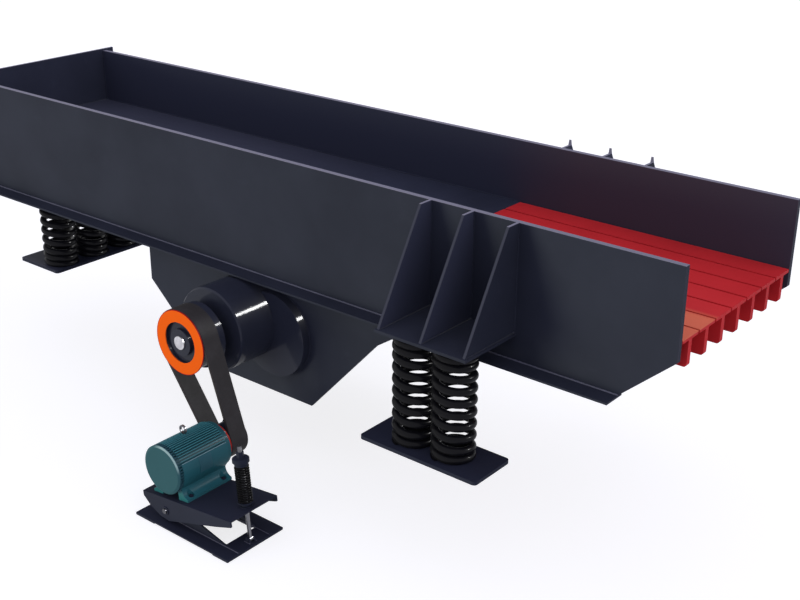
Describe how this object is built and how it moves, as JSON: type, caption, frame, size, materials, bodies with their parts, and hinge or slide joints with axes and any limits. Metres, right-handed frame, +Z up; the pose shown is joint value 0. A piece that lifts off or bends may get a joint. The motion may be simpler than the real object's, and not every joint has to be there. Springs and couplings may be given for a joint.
{
  "type": "vibrating grizzly feeder",
  "caption": "Spring-mounted vibrating feeder: a long open trough ending in grizzly bars, shaken by a side exciter that a belt drives from a motor on a hinged, spring-tensioned seat.",
  "frame": {"origin": "centre of the rear spring base plate's underside, on the trough's centreline", "axes": "+X along the trough to the discharge end, +Z up, -Y to the drive side"},
  "size_m": [4.9592, 2.379, 1.7228],
  "materials": {
    "trough_paint": "satin",
    "pan_steel": "satin",
    "bar_red": "satin",
    "base_paint": "satin",
    "spring_black": "gloss",
    "pulley_paint": "satin",
    "ring_orange": "satin",
    "ring_red": "satin",
    "belt_rubber": "matte",
    "bare_steel": "satin",
    "cap_paint": "satin",
    "tension_spring_paint": "gloss",
    "motor_teal": "satin",
    "motor_cowl_teal": "satin"
  },
  "bodies": {
    "base": {"rear_spring_base": "base_paint", "front_spring_bases": "base_paint", "rear_springs": "spring_black", "front_springs": "spring_black", "motor_base": "base_paint", "base_ears": "base_paint", "seat_pivot_pin": "bare_steel", "tension_rod": "bare_steel", "tension_rod_lug": "base_paint", "tension_cap": "cap_paint", "tension_spring": "tension_spring_paint", "drive_belt": "belt_rubber"},
    "trough": {"rear_end_plate": "trough_paint", "near_side_wall": "trough_paint", "far_side_wall": "trough_paint", "bottom_flanges": "trough_paint", "feed_pan": "pan_steel", "pan_cross_beams": "trough_paint", "grizzly_bars": "bar_red", "grizzly_cross_beams": "trough_paint", "near_bracket_gussets": "trough_paint", "far_bracket_gussets": "trough_paint", "front_spring_seats": "trough_paint", "rear_spring_seat": "trough_paint", "exciter_side_plates": "trough_paint", "exciter_tubes": "trough_paint", "drive_shaft_housing": "trough_paint", "geared_shaft_cover": "trough_paint", "far_bearing_cover": "trough_paint"},
    "exciter_shaft": {"drive_shaft": "bare_steel", "driven_pulley": "pulley_paint", "driven_pulley_ring": "ring_orange"},
    "motor_seat": {"seat_plate": "base_paint", "seat_cheeks": "base_paint", "motor_feet": "motor_teal", "motor_frame": "motor_teal", "motor_fan_cowl": "motor_cowl_teal", "motor_end_shield": "motor_teal", "lifting_eye": "bare_steel", "tension_spring_washer": "cap_paint"},
    "motor_rotor": {"motor_shaft": "bare_steel", "motor_pulley": "pulley_paint", "motor_pulley_ring": "ring_red"}
  },
  "joints": [
    {"name": "trough_shake", "type": "slide", "parent": "base", "child": "trough", "axis": [0.2152, 0, 0.9766], "range_m": [-0.005, 0.005], "stiffness_N_per_m": 1450000, "springref_m": 0.031, "deforming": ["rear_springs", "front_springs", "drive_belt"]},
    {"name": "exciter_spin", "type": "hinge", "parent": "trough", "child": "exciter_shaft", "pos_m": [1.84, -0.83, 0.1924], "axis": [0, 1, 0], "continuous": true},
    {"name": "motor_seat_tilt", "type": "hinge", "parent": "base", "child": "motor_seat", "pos_m": [2.08725, -1.252, -0.51836], "axis": [0, 1, 0], "range_deg": [-2, 2], "deforming": ["tension_spring", "drive_belt"]},
    {"name": "motor_rotor_spin", "type": "hinge", "parent": "motor_seat", "child": "motor_rotor", "pos_m": [2.086, -1.06, -0.288], "axis": [0, 1, 0], "continuous": true}
  ],
  "couplings": [
    {"joint": "motor_rotor_spin", "follows": "exciter_spin", "ratio": 1.8619}
  ]
}
